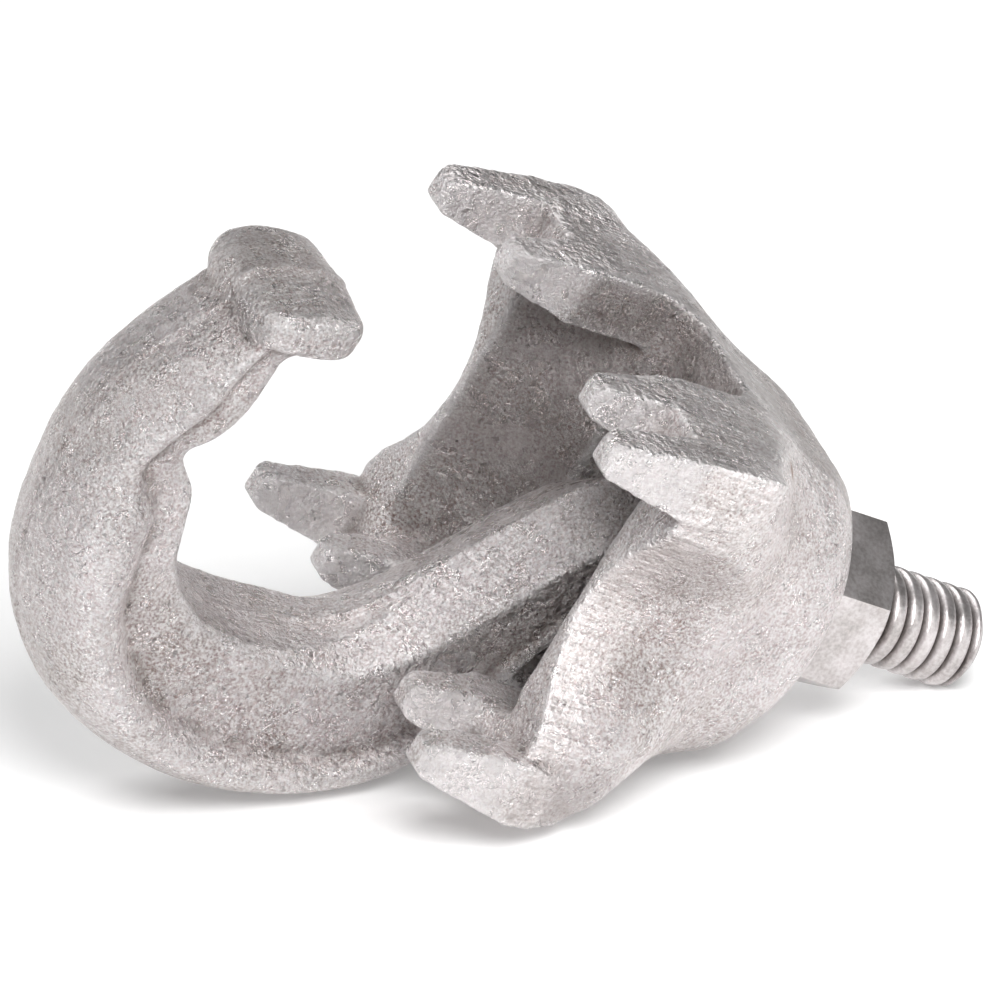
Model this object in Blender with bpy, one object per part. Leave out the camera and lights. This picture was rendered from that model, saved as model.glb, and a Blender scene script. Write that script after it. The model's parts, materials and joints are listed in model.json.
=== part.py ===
"""Hook clamp for one 48.3 mm scaffold tube: a cast hook with a threaded stud, a saddle with eight claws, a nut.

Every shape is drawn in the clamp's own axes and in millimetres: a runs along the stud towards the hook,
p points from the stud to the hook's tip, and n runs along the clamped tube. a, n, p are right-handed and
the origin lies on the stud's axis at the height of the inner claws' tips. The empty "clamp_frame" lays
the clamp down on the end of its stud, the back of its hook and one corner of its saddle.
"""
import bpy
import bmesh
from math import cos, sin, pi, radians
from mathutils import Matrix, Vector

MM = 0.001

# How the clamp lies on the ground.
REST_PITCH = 26.90
REST_ROLL = -13.07
REST_HEIGHT = 51.64
REST_SHIFT_X = -11.96

# Stud, thread and nut.
STUD_END_A = -100.5
THREAD_START_A = -50.0
STUD_RADIUS = 8.0
STUD_TIP_RADIUS = 6.0
STUD_CHAMFER = 1.6
BLANK_RADIUS = 8.1
THREAD_DEPTH = 1.3
THREAD_PITCH = 3.175
THREAD_SEGMENTS = 20
SHANK_RADIUS = 8.4
SHANK_START_A = -51.5
SHANK_END_A = -43.5
NUT_SEAT_A = -65.8
NUT_LENGTH = 11.9
NUT_FLATS = 27.0
NUT_CORNER_CHAMFER = 1.6
NUT_SEAT_CHAMFER = 0.8
NUT_CORNER_TRIM = 1.2
NUT_FACE_TRIM = 0.4
NUT_TURN = 28.3
# The cone that opens each end of the nut's bore past the stud's crests: widest radius, narrowest, depth.
BORE_MOUTH = (8.7, 6.9, 1.8)
RUNNING_GAP = 0.35

# Saddle.
RIM_A = -14.4
SHANK_HOLE_RADIUS = 9.2
FLUTE_RADIUS = 20.5
FLUTE_CENTRE_N = 50.7
FLUTE_SLOPE = 0.11
BOWL_RADIUS = 30.0
BOWL_CENTRE_A = -3.9
BOWL_HALF_P = 24.0
SLOT_HALF_N = 14.2
SLOT_FLOOR_A = -34.2
SLOT_CORNER_RADIUS = 8.0
POCKET_HALF_N = 13.2
# The pocket for the hook's neck, as (a, p) points: its floor, its ramp up to the lower slot, its mouth.
POCKET_OUTLINE = [
    (-50.0, 12.5),
    (-50.0, -21.0),
    (-40.0, -23.0),
    (-34.3, -31.0),
    (-34.3, -45.0),
    (-20.0, -45.0),
    (-20.0, 12.5),
]

# Saddle's outside: (a, half width in p, half width in n, corner radius), from the nut's seat to the rim.
SADDLE_SECTIONS = [
    (-65.5, 14.5, 14.8, 14.5),
    (-64.3, 17.9, 19.4, 17.8),
    (-61.0, 21.4, 23.8, 18.6),
    (-55.5, 24.8, 27.4, 17.5),
    (-50.0, 26.8, 28.6, 17.6),
    (-45.0, 28.6, 30.0, 17.6),
    (-40.0, 30.2, 32.6, 16.5),
    (-35.0, 31.8, 36.0, 13.0),
    (-29.5, 33.3, 38.8, 8.5),
    (-22.0, 34.0, 39.3, 6.5),
    (-14.4, 33.4, 39.3, 5.0),
]

# A claw's sections: (a, inner p, outer p, inner n, outer n), tip first.
INNER_CLAW = [
    (-2.0, 26.8, 30.8, 16.9, 21.4),
    (-3.2, 26.0, 31.6, 16.4, 22.0),
    (-14.6, 24.4, 33.5, 15.2, 23.4),
    (-18.0, 24.6, 33.6, 15.2, 23.6),
]
OUTER_CLAW = [
    (2.4, 26.8, 30.8, 35.0, 39.6),
    (1.2, 26.0, 31.6, 34.6, 40.2),
    (-14.6, 24.3, 33.6, 33.6, 41.2),
    (-21.0, 25.0, 34.2, 33.6, 41.4),
    (-26.5, 26.0, 34.0, 33.6, 40.8),
    (-30.0, 27.0, 33.0, 33.6, 38.2),
]

# The hook's stations, from the shank to the tip: the point of the inner edge, the point of the outer
# crest, the half width at the inner edge, the half width of the web, the depth of the web, the half
# width of the outer bead, as (inner a, inner p, outer a, outer p, edge, web, depth, bead).
HOOK_STATIONS = [
    (-36.0, 8.4, -40.0, -8.8, 3.4, 7.3, 4.6, 7.3),
    (-29.6, 7.8, -34.0, -13.5, 3.6, 9.5, 5.5, 10.0),
    (-24.4, 4.6, -27.2, -22.5, 3.4, 10.4, 5.5, 11.4),
    (-18.0, -3.6, -22.6, -34.0, 3.2, 11.0, 5.0, 12.4),
    (-11.0, -13.4, -19.4, -42.4, 3.6, 11.4, 4.0, 13.0),
    (-4.4, -22.4, -14.4, -48.6, 5.2, 11.8, 3.0, 13.4),
    (2.6, -29.2, -6.4, -54.2, 7.5, 12.2, 2.0, 13.8),
    (11.0, -33.2, 3.4, -58.4, 10.0, 12.4, 1.4, 14.2),
    (20.6, -34.4, 15.4, -60.6, 10.8, 12.4, 1.2, 14.4),
    (30.0, -33.2, 28.8, -59.6, 11.0, 12.4, 1.2, 14.6),
    (37.0, -29.2, 41.4, -54.8, 11.0, 12.4, 1.2, 14.8),
    (41.4, -23.8, 51.6, -46.8, 11.0, 12.2, 1.2, 14.8),
    (43.4, -17.6, 58.2, -36.8, 11.0, 12.0, 1.2, 14.6),
    (45.4, -11.6, 61.6, -26.0, 10.8, 11.8, 1.2, 14.2),
    (48.6, -6.4, 62.6, -15.6, 10.4, 11.6, 1.2, 13.8),
    (45.2, -1.6, 61.8, -7.0, 10.6, 11.4, 1.2, 13.4),
    (43.2, 3.8, 59.4, 0.6, 10.8, 11.4, 1.2, 12.6),
    (42.8, 9.6, 55.6, 8.2, 10.8, 11.6, 1.2, 12.0),
    (42.4, 14.2, 50.8, 15.4, 10.8, 11.8, 1.2, 12.0),
    (39.6, 16.4, 45.2, 21.6, 10.8, 12.2, 1.2, 12.2),
    (36.4, 17.2, 38.8, 24.0, 10.8, 12.4, 1.2, 12.4),
    (34.0, 17.8, 34.8, 23.8, 9.6, 11.0, 1.2, 11.0),
]
# Where the web ends and the bead begins, as a share of the hook's thickness behind the inner edge; a
# thickness under THIN_HOOK takes the second share, of the whole thickness.
WEB_DEPTH_SHARE = 0.46
THIN_HOOK = 12.0
THIN_WEB_SHARE = 0.45
# The bead's side: (share of the way from the web's end to the crest, share of the bead's half width).
BEAD_SHAPE = [(0.2, 1.0), (0.55, 0.98), (0.84, 0.68), (1.0, 0.2)]

# The cross piece at the hook's tip: (a, lower p, upper p, half width in n).
TIP_SECTIONS = [
    (49.4, 14.8, 18.2, 9.0),
    (47.6, 15.0, 20.6, 13.2),
    (43.0, 15.4, 23.2, 14.6),
    (36.6, 16.6, 24.4, 14.4),
    (33.4, 17.4, 24.2, 12.4),
    (32.0, 18.4, 23.2, 10.2),
]
TIP_CORNER_RADIUS = 3.2
TIP_ARC_STEPS = 3

# How finely round shapes are drawn, and how far the cutting tools reach past the metal.
ARC_STEPS = 5
ROUND_SEGMENTS = 40
HOLE_SEGMENTS = 28
NUT_SEGMENTS = 48
FLUTE_CUT_A = (-72.0, 8.0)
HOLE_CUT_A = (-80.0, -30.0)
SLOT_CUT_P = 60.0
CUT_PAST = 0.02
CLEAR = 0.1
SLOT_MOUTH_A = 10.0
SHARP_ANGLE = 38.0


def material(name, color, roughness, metallic=1.0):
    made = bpy.data.materials.new(name)
    made.use_nodes = True
    shader = made.node_tree.nodes["Principled BSDF"]
    shader.inputs["Base Color"].default_value = (*color, 1.0)
    shader.inputs["Roughness"].default_value = roughness
    shader.inputs["Metallic"].default_value = metallic
    return made


def mesh_object(name, verts, faces, parent):
    """A mesh object from points (a, n, p) in millimetres, its faces turned outwards."""
    mesh = bpy.data.meshes.new(name)
    mesh.from_pydata([(a * MM, n * MM, p * MM) for a, n, p in verts], [], faces)
    mesh.shade_smooth()
    mesh.set_sharp_from_angle(angle=radians(SHARP_ANGLE))
    shape = bmesh.new()
    shape.from_mesh(mesh)
    bmesh.ops.recalc_face_normals(shape, faces=shape.faces)
    shape.to_mesh(mesh)
    shape.free()
    obj = bpy.data.objects.new(name, mesh)
    bpy.context.collection.objects.link(obj)
    obj.parent = parent
    return obj


def loft(rings):
    """Points and faces of a closed skin over rings of equal length."""
    count = len(rings[0])
    verts = [point for ring in rings for point in ring]
    faces = []
    for row in range(len(rings) - 1):
        for i in range(count):
            j = (i + 1) % count
            first = row * count
            faces.append((first + i, first + j, first + count + j, first + count + i))
    faces.append(tuple(range(count))[::-1])
    faces.append(tuple(range((len(rings) - 1) * count, len(rings) * count)))
    return verts, faces


def rounded_rectangle(half_p, half_n, radius, steps=ARC_STEPS):
    """Corner arcs of a rounded rectangle, as (p, n) points."""
    radius = min(radius, half_p, half_n)
    points = []
    for quarter in range(4):
        start = quarter * pi / 2
        centre_p = (half_p - radius) * (1 if quarter in (0, 3) else -1)
        centre_n = (half_n - radius) * (1 if quarter in (0, 1) else -1)
        for step in range(steps + 1):
            angle = start + step * pi / 2 / steps
            points.append((centre_p + radius * cos(angle), centre_n + radius * sin(angle)))
    return points


def circle_ring(a, radius, count):
    return [(a, radius * cos(2 * pi * i / count), radius * sin(2 * pi * i / count)) for i in range(count)]


def turned(profile, count):
    """A solid of revolution about a through (a, radius) pairs."""
    return loft([circle_ring(a, radius, count) for a, radius in profile])


def prism_along_p(outline, low_p, high_p):
    """A solid with the outline's (a, n) points, from low_p to high_p."""
    return loft([[(a, n, p) for a, n in outline] for p in (low_p, high_p)])


def prism_along_n(outline, half_n):
    """A solid with the outline's (a, p) points, centred on n = 0."""
    return loft([[(a, n, p) for a, p in outline] for n in (-half_n, half_n)])


def joined(parts):
    """One list of points and faces from several closed skins."""
    verts, faces = [], []
    for part_verts, part_faces in parts:
        offset = len(verts)
        verts += part_verts
        faces += [tuple(i + offset for i in face) for face in part_faces]
    return verts, faces


def hide_tool(obj):
    obj.hide_render = True
    obj.display_type = "WIRE"
    return obj


def combine(target, tool, operation):
    """Adds a Boolean with a hidden tool object."""
    modifier = target.modifiers.new(tool.name, "BOOLEAN")
    modifier.operation = operation
    modifier.solver = "EXACT"
    modifier.object = hide_tool(tool)


def thread_skin(start_a, end_a, radius_shift):
    """A closed helical skin: four points a turn on every meridian, joined to the next turn at the seam."""
    turn = [(0.0, 0.0), (0.22, 0.0), (0.5, 1.0), (0.72, 1.0)]
    per_turn = len(turn)
    rings = int(round((end_a - start_a) / THREAD_PITCH * per_turn)) + per_turn
    root = STUD_RADIUS - THREAD_DEPTH + radius_shift
    verts = []
    for ring in range(rings):
        share, height = turn[ring % per_turn]
        for i in range(THREAD_SEGMENTS):
            angle = 2 * pi * i / THREAD_SEGMENTS
            a = start_a + THREAD_PITCH * (ring // per_turn + share + i / THREAD_SEGMENTS - 1)
            radius = root + THREAD_DEPTH * height
            verts.append((a, -radius * sin(angle), radius * cos(angle)))
    count = THREAD_SEGMENTS

    def index(ring, i):
        return (ring + per_turn * (i // count)) * count + i % count

    faces = []
    for ring in range(rings - 1):
        for i in range(count):
            corners = [(ring, i), (ring, i + 1), (ring + 1, i + 1), (ring + 1, i)]
            numbers = [index(*corner) for corner in corners]
            if max(numbers) < len(verts):
                faces.append(tuple(numbers))
    low = [index(0, i) for i in range(count)] + [index(ring, 0) for ring in range(per_turn, 0, -1)]
    top = rings - 1
    high = [index(top, i) for i in range(count)]
    high += [index(ring, count - 1) for ring in range(top - 1, top - per_turn - 1, -1)]
    for loop, a in ((low[::-1], verts[0][0]), (high, verts[-1][0])):
        verts.append((a, 0.0, 0.0))
        centre = len(verts) - 1
        faces += [(loop[i], loop[(i + 1) % len(loop)], centre) for i in range(len(loop))]
    return verts, faces


def hook_ring(station):
    """One closed section of the hook: flat-sided web on the inside, round bead on the outside."""
    inner_a, inner_p, outer_a, outer_p, edge, web, depth, bead = station
    inner = Vector((inner_a, inner_p))
    across = Vector((outer_a, outer_p)) - inner
    thick = across.length
    across /= thick
    if thick > THIN_HOOK:
        web_end = depth + (thick - depth) * WEB_DEPTH_SHARE
    else:
        web_end = thick * THIN_WEB_SHARE
    side = [(0.0, edge), (depth, web), (web_end, web)]
    for share, width in BEAD_SHAPE:
        side.append((web_end + (thick - web_end) * share, bead * width))
    ring = []
    for along, half in side:
        point = inner + across * along
        ring.append((point.x, half, point.y))
    for along, half in reversed(side):
        point = inner + across * along
        ring.append((point.x, -half, point.y))
    return ring


def shank_ring(a):
    """The shank's round section, with as many points as the hook's sections."""
    half_count = len(hook_ring(HOOK_STATIONS[0])) // 2
    angles = [pi / 2 - (i + 0.5) * pi / half_count for i in range(half_count)]
    right = [(a, SHANK_RADIUS * cos(t), SHANK_RADIUS * sin(t)) for t in angles]
    left = [(a, -n, p) for _, n, p in reversed(right)]
    return right + left


def tip_ring(section):
    a, low, high, half = section
    middle = (low + high) / 2
    tall = (high - low) / 2
    corners = rounded_rectangle(tall, half, TIP_CORNER_RADIUS, TIP_ARC_STEPS)
    return [(a, n, middle + p) for p, n in corners]


def make_hook_bolt(frame, finish):
    rings = [shank_ring(a) for a in (SHANK_START_A, SHANK_END_A)]
    rings += [hook_ring(station) for station in HOOK_STATIONS]
    hook = mesh_object("hook_bolt", *loft(rings), frame)
    tip = mesh_object("tool_tip", *loft([tip_ring(s) for s in TIP_SECTIONS]), frame)
    combine(hook, tip, "UNION")
    blank = [
        (STUD_END_A, STUD_TIP_RADIUS),
        (STUD_END_A + STUD_CHAMFER, BLANK_RADIUS),
        (THREAD_START_A, BLANK_RADIUS),
    ]
    thread = mesh_object("tool_thread", *thread_skin(STUD_END_A, THREAD_START_A, 0.0), frame)
    combine(thread, mesh_object("tool_blank", *turned(blank, ROUND_SEGMENTS), frame), "INTERSECT")
    combine(hook, thread, "UNION")
    hook.data.materials.append(finish)
    return hook


def claw_skin(sections, side_p, side_n):
    rings = []
    for a, low_p, high_p, low_n, high_n in sections:
        corners = ((low_p, low_n), (high_p, low_n), (high_p, high_n), (low_p, high_n))
        rings.append([(a, side_n * n, side_p * p) for p, n in corners])
    return loft(rings)


def slot_outline():
    """The slot's U in (a, n), open towards the hook."""
    outline = [(SLOT_MOUTH_A, -SLOT_HALF_N), (SLOT_MOUTH_A, SLOT_HALF_N)]
    for step in range(2 * ARC_STEPS + 1):
        angle = step * pi / 2 / ARC_STEPS
        middle = (SLOT_HALF_N - SLOT_CORNER_RADIUS) * (1 if step <= ARC_STEPS else -1)
        n = middle + SLOT_CORNER_RADIUS * cos(angle)
        outline.append((SLOT_FLOOR_A + SLOT_CORNER_RADIUS * (1 - sin(angle)), n))
    return outline


def make_saddle(frame, finish):
    rings = []
    for a, half_p, half_n, radius in SADDLE_SECTIONS:
        rings.append([(a, n, p) for p, n in rounded_rectangle(half_p, half_n, radius)])
    saddle = mesh_object("saddle", *loft(rings), frame)
    sides = ((1, 1), (1, -1), (-1, 1), (-1, -1))
    claws = joined([claw_skin(s, p, n) for p, n in sides for s in (INNER_CLAW, OUTER_CLAW)])
    flutes = []
    for side in (1, -1):
        verts, faces = turned([(a, FLUTE_RADIUS) for a in FLUTE_CUT_A], ROUND_SEGMENTS)
        moved = [(a, n + side * (FLUTE_CENTRE_N + FLUTE_SLOPE * (RIM_A - a)), p) for a, n, p in verts]
        flutes.append((moved, faces))
    combine(saddle, mesh_object("tool_flutes", *joined(flutes), frame), "DIFFERENCE")
    angles = [2 * pi * i / ROUND_SEGMENTS for i in range(ROUND_SEGMENTS)]
    bowl = [(BOWL_CENTRE_A + BOWL_RADIUS * sin(t), BOWL_RADIUS * cos(t)) for t in angles]
    bowl_tool = prism_along_p(bowl, -BOWL_HALF_P, BOWL_HALF_P)
    combine(saddle, mesh_object("tool_bowl", *bowl_tool, frame), "DIFFERENCE")
    combine(saddle, mesh_object("tool_claws", *claws, frame), "UNION")
    slot = prism_along_p(slot_outline(), -SLOT_CUT_P, SLOT_CUT_P)
    combine(saddle, mesh_object("tool_slot", *slot, frame), "DIFFERENCE")
    pocket = prism_along_n(POCKET_OUTLINE, POCKET_HALF_N)
    combine(saddle, mesh_object("tool_pocket", *pocket, frame), "DIFFERENCE")
    hole = turned([(a, SHANK_HOLE_RADIUS) for a in HOLE_CUT_A], HOLE_SEGMENTS)
    combine(saddle, mesh_object("tool_hole", *hole, frame), "DIFFERENCE")
    saddle.data.materials.append(finish)
    return saddle


def make_nut(frame, finish):
    spin = radians(NUT_TURN)
    reach = NUT_FLATS / 2 / cos(pi / 6)
    rings = []
    for a in (NUT_SEAT_A, NUT_SEAT_A - NUT_LENGTH):
        rings.append([(a, reach * cos(spin + i * pi / 3), reach * sin(spin + i * pi / 3)) for i in range(6)])
    nut = mesh_object("hex_nut", *loft(rings), frame)
    low = NUT_SEAT_A - NUT_LENGTH
    corner = [
        (low - CUT_PAST, NUT_FLATS / 2 - NUT_FACE_TRIM),
        (low + NUT_CORNER_CHAMFER, reach + CLEAR),
        (NUT_SEAT_A - NUT_SEAT_CHAMFER, reach + CLEAR),
        (NUT_SEAT_A + CUT_PAST, reach - NUT_CORNER_TRIM),
    ]
    combine(nut, mesh_object("tool_corner", *turned(corner, NUT_SEGMENTS), frame), "INTERSECT")
    thread = thread_skin(STUD_END_A, THREAD_START_A, RUNNING_GAP)
    combine(nut, mesh_object("tool_nut_thread", *thread, frame), "DIFFERENCE")
    wide, narrow, depth = BORE_MOUTH
    mouths = joined([
        turned([(low - CUT_PAST, wide), (low + depth, narrow)], ROUND_SEGMENTS),
        turned([(NUT_SEAT_A - depth, narrow), (NUT_SEAT_A + CUT_PAST, wide)], ROUND_SEGMENTS),
    ])
    combine(nut, mesh_object("tool_mouths", *mouths, frame), "DIFFERENCE")
    nut.data.materials.append(finish)
    return nut


def make_frame():
    frame = bpy.data.objects.new("clamp_frame", None)
    bpy.context.collection.objects.link(frame)
    turn = Matrix.Rotation(radians(REST_PITCH), 4, "Y") @ Matrix.Rotation(pi, 4, "Z")
    turn = turn @ Matrix.Rotation(radians(REST_ROLL), 4, "X")
    frame.rotation_euler = turn.to_euler()
    frame.location = (REST_SHIFT_X * MM, 0.0, REST_HEIGHT * MM)
    return frame


def main():
    for obj in list(bpy.data.objects):
        bpy.data.objects.remove(obj, do_unlink=True)
    frame = make_frame()
    make_hook_bolt(frame, material("cast_galvanised_hook", (0.60, 0.58, 0.57), 0.55))
    make_saddle(frame, material("cast_galvanised_saddle", (0.60, 0.58, 0.57), 0.55))
    make_nut(frame, material("plated_nut", (0.62, 0.61, 0.60), 0.4))


main()
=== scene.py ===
"""Looks of the scaffold hook clamp: galvanised castings, a plated stud and nut, on a pale floor.

Shapes are drawn in the clamp's own axes and in millimetres, and the frame's record says where those axes
are: a runs along the stud towards the hook, n along the clamped tube, p from the stud to the hook's tip.
The origin lies on the stud's axis. The meshes end up in the frame's own axes.
"""
import json
from math import cos, sin, pi, radians, sqrt

import bmesh
import bpy
import numpy as np
from mathutils import Matrix, Vector, noise


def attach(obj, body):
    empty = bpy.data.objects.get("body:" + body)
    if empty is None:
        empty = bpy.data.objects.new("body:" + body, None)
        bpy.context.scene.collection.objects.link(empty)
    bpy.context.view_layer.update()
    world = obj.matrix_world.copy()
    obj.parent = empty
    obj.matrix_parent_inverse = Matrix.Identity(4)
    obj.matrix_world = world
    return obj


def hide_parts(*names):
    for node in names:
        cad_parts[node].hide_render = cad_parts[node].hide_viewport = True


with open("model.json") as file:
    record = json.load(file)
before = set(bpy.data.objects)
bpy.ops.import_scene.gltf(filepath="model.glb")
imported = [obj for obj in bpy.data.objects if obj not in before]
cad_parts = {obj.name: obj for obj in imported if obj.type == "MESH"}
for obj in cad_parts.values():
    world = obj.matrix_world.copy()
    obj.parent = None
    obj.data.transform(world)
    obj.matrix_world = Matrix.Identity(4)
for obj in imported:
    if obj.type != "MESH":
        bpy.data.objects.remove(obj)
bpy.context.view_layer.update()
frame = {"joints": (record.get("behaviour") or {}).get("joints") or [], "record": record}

MM = 0.001

# The nut's pivot lies on the stud's axis at this a.
NUT_PIVOT_A = -71.7

# Stud, thread and nut.
STUD_END_A = -100.5
THREAD_START_A = -50.0
STUD_RADIUS = 8.0
STUD_TIP_RADIUS = 6.0
STUD_CHAMFER = 1.7
BLANK_RADIUS = 8.03
THREAD_DEPTH = 1.3
THREAD_PITCH = 3.175
THREAD_SEGMENTS = 72
# One turn of the thread, root to root: (share of the pitch, share of the depth).
THREAD_TURN = [
    (0.0, 0.02),
    (0.05, 0.0),
    (0.1, 0.16),
    (0.19, 0.66),
    (0.3, 0.93),
    (0.5, 1.0),
    (0.72, 1.0),
    (0.85, 0.92),
    (0.94, 0.5),
]
NUT_SEAT_A = -65.8
NUT_LENGTH = 11.9
NUT_FLATS = 27.0
NUT_TURN = 28.3
NUT_EDGE_RADIUS = 0.45
NUT_BORE_RADIUS = 6.9
NUT_MOUTH_RADIUS = 8.7
NUT_MOUTH_DEPTH = 1.8
RUNNING_GAP = 0.35

# Saddle.
RIM_A = -14.4
SHANK_HOLE_RADIUS = 9.2
FLUTE_RADIUS = 20.5
FLUTE_CENTRE_N = 50.7
FLUTE_SLOPE = 0.11
FLUTE_SOFTNESS = 5.0
BOWL_RADIUS = 30.0
BOWL_CENTRE_A = -3.9
BOWL_HALF_P = 24.0
SLOT_HALF_N = 14.2
SLOT_FLOOR_A = -34.2
SLOT_CORNER_RADIUS = 8.0
POCKET_HALF_N = 13.2
POCKET_OUTLINE = [
    (-50.0, 12.5),
    (-50.0, -21.0),
    (-40.0, -23.0),
    (-34.3, -31.0),
    (-34.3, -45.0),
    (-20.0, -45.0),
    (-20.0, 12.5),
]
# Saddle's outside: (a, half width in p, half width in n, corner radius), from the nut's seat to the rim.
SADDLE_SECTIONS = [
    (-65.5, 14.5, 14.8, 14.5),
    (-64.3, 18.3, 19.2, 17.8),
    (-61.0, 22.2, 23.2, 18.8),
    (-55.5, 25.6, 26.8, 18.2),
    (-50.0, 27.6, 28.0, 18.2),
    (-45.0, 29.3, 29.4, 18.2),
    (-40.0, 31.2, 32.2, 17.0),
    (-35.0, 33.0, 35.8, 13.4),
    (-29.5, 33.8, 38.8, 8.5),
    (-22.0, 34.0, 39.3, 6.5),
    (-14.4, 33.4, 39.3, 5.0),
]
# Small rust spots on the saddle's shoulder and at a claw's foot, as (a, n, p).
RUST_SPOTS = [(-37.4, 25.7, 29.9), (-17.5, -33.4, 30.0)]
# A claw's sections: (a, inner p, outer p, inner n, outer n), tip first.
INNER_CLAW = [
    (-2.0, 27.0, 30.4, 17.4, 21.2),
    (-3.4, 25.8, 31.6, 16.4, 22.2),
    (-14.6, 23.6, 33.5, 14.8, 24.0),
    (-18.0, 23.8, 33.6, 14.6, 24.4),
]
UPPER_CLAW = [
    (2.8, 26.6, 30.6, 35.4, 39.6),
    (1.2, 25.4, 31.8, 34.4, 40.4),
    (-14.6, 22.8, 33.9, 33.4, 41.3),
    (-21.0, 23.4, 34.4, 33.4, 41.4),
    (-26.5, 25.2, 34.2, 33.6, 40.8),
    (-29.4, 27.4, 33.4, 33.6, 39.2),
]
LOWER_CLAW = [
    (2.8, 26.6, 30.6, 35.4, 39.6),
    (1.2, 25.6, 31.8, 34.4, 40.4),
    (-14.6, 23.6, 34.4, 33.4, 41.4),
    (-15.8, 23.6, 34.8, 33.4, 41.2),
    (-21.0, 25.0, 34.8, 33.0, 40.0),
    (-26.0, 26.0, 34.0, 32.0, 38.2),
    (-30.0, 26.0, 32.6, 30.0, 35.2),
]
# The flank stands further out at the upper claws' feet: by how much, and the (start, end) of its fades.
FLANK_RISE = 1.7
FLANK_RISE_P = (15.5, 24.0)
FLANK_RISE_A = (-33.0, -24.0)
FLANK_RISE_N = (30.0, 34.0)

# The hook's stations, from the shank to the tip: the point of the inner edge, the point of the outer
# crest, the half width at the inner edge, the half width of the web, the depth over which the edge grows
# into the web, the half width of the outer bead, and the share of the thickness that is web.
HOOK_STATIONS = [
    (-51.5, 8.2, -51.5, -8.2, 2.0, 7.6, 8.0, 6.6, 0.5),
    (-43.5, 8.2, -43.5, -8.2, 2.0, 7.6, 8.0, 6.6, 0.5),
    (-36.0, 8.4, -39.6, -8.6, 2.4, 7.6, 4.6, 7.2, 0.5),
    (-29.6, 7.8, -34.0, -13.5, 1.4, 9.5, 6.0, 10.0, 0.5),
    (-24.4, 4.6, -27.2, -22.5, 1.2, 10.4, 6.2, 11.3, 0.5),
    (-18.0, -3.6, -22.6, -34.0, 1.2, 10.8, 6.0, 12.2, 0.5),
    (-11.0, -13.4, -19.4, -42.4, 1.6, 11.0, 5.4, 13.0, 0.56),
    (-4.4, -22.4, -14.4, -48.6, 3.2, 11.2, 4.6, 13.6, 0.6),
    (2.6, -29.2, -6.4, -54.2, 5.6, 11.2, 3.2, 14.0, 0.6),
    (11.0, -31.9, 3.4, -58.4, 8.8, 11.2, 2.0, 14.4, 0.58),
    (20.3, -33.1, 15.4, -60.6, 10.2, 11.2, 1.2, 14.6, 0.55),
    (29.3, -32.1, 28.8, -59.6, 10.4, 11.2, 1.0, 14.8, 0.5),
    (36.0, -28.3, 41.4, -54.8, 10.4, 11.0, 1.0, 15.0, 0.43),
    (40.2, -23.1, 51.6, -46.8, 10.4, 11.0, 1.0, 15.0, 0.34),
    (42.2, -17.4, 58.2, -36.8, 10.4, 10.8, 1.0, 14.8, 0.24),
    (44.4, -11.4, 61.6, -26.0, 10.2, 10.6, 1.0, 14.4, 0.2),
    (48.6, -6.4, 62.6, -15.6, 9.8, 10.4, 1.0, 12.6, 0.3),
    (45.2, -1.6, 61.8, -7.0, 10.0, 10.6, 1.0, 13.0, 0.36),
    (43.2, 3.8, 59.4, 0.6, 10.0, 10.6, 1.0, 13.4, 0.3),
    (42.8, 9.6, 55.6, 8.2, 10.0, 10.6, 1.0, 12.8, 0.3),
    (42.4, 14.2, 50.8, 15.4, 10.0, 11.0, 1.0, 12.2, 0.34),
    (39.6, 16.4, 45.4, 21.8, 10.8, 11.6, 1.0, 12.0, 0.45),
    (36.4, 17.0, 39.0, 24.4, 10.8, 11.8, 1.0, 12.0, 0.45),
    (33.4, 17.4, 34.0, 25.0, 10.0, 11.0, 1.0, 10.8, 0.45),
]
STATION_STEPS = 6
SIDE_POINTS = 30
HOOK_MIN_HALF = 0.6
# The parting line on the hook: its width, its height and how much higher it is along the bar.
PARTING_WIDTH = 0.55
PARTING_HEIGHT = 0.3
PARTING_BAR_HEIGHT = 0.3
# The cross piece at the hook's tip: (a, lower p, upper p, half width in n).
TIP_SECTIONS = [
    (50.6, 15.7, 19.1, 9.0),
    (49.0, 15.9, 21.3, 13.2),
    (44.0, 16.4, 23.6, 14.6),
    (37.6, 17.5, 24.7, 14.4),
    (34.6, 18.0, 24.4, 13.0),
    (33.2, 19.4, 23.4, 11.0),
]
TIP_CROWN = 0.9
TIP_CORNER_RADIUS = 2.2

ARC_STEPS = 14
ROUND_SEGMENTS = 128
FINE_VOXEL = 0.42
VOXEL = FINE_VOXEL
# Skins with larger voxels than this carry no pimples.
PIMPLE_VOXEL = 0.6
PIMPLE_SIZE = 1.7
# A casting's lumps: their height, their size, and the height of the pimples on them.
HOOK_LUMPS = (0.16, 9.0, 0.04)
SADDLE_LUMPS = (0.2, 10.0, 0.045)
MELT_ROUNDS = 140
RELAX_ROUNDS = 40
# How far a point lies below or above the relaxed skin where it counts fully as a corner or an edge.
FULL_DEPTH = 0.38

# The camera's axes in the clamp's (a, n, p), its distance in metres, the width that it sees and where it
# aims, in millimetres.
CAMERA_RIGHT = Vector((-0.802, 0.336, 0.494))
CAMERA_BACK = Vector((0.537, 0.768, 0.349))
CAMERA_DISTANCE = 4.0
VIEW_WIDTH = 153.4
SENSOR_WIDTH = 36.0
AIM_RIGHT = 9.02
AIM_DOWN = 4.43

# Lights: name, direction from the clamp, distance, size, power.
LIGHTS = [
    ("key", (-0.2, -0.78, 0.7), 1.3, 0.65, 19.5),
    ("top", (0.1, 0.6, 1.0), 1.4, 1.1, 10.0),
    ("fill", (0.5, -0.85, 0.3), 1.3, 0.7, 2.6),
]
STUDIO_COLOR = (0.14, 0.14, 0.14, 1.0)
FLOOR_SIZE = 60.0
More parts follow.
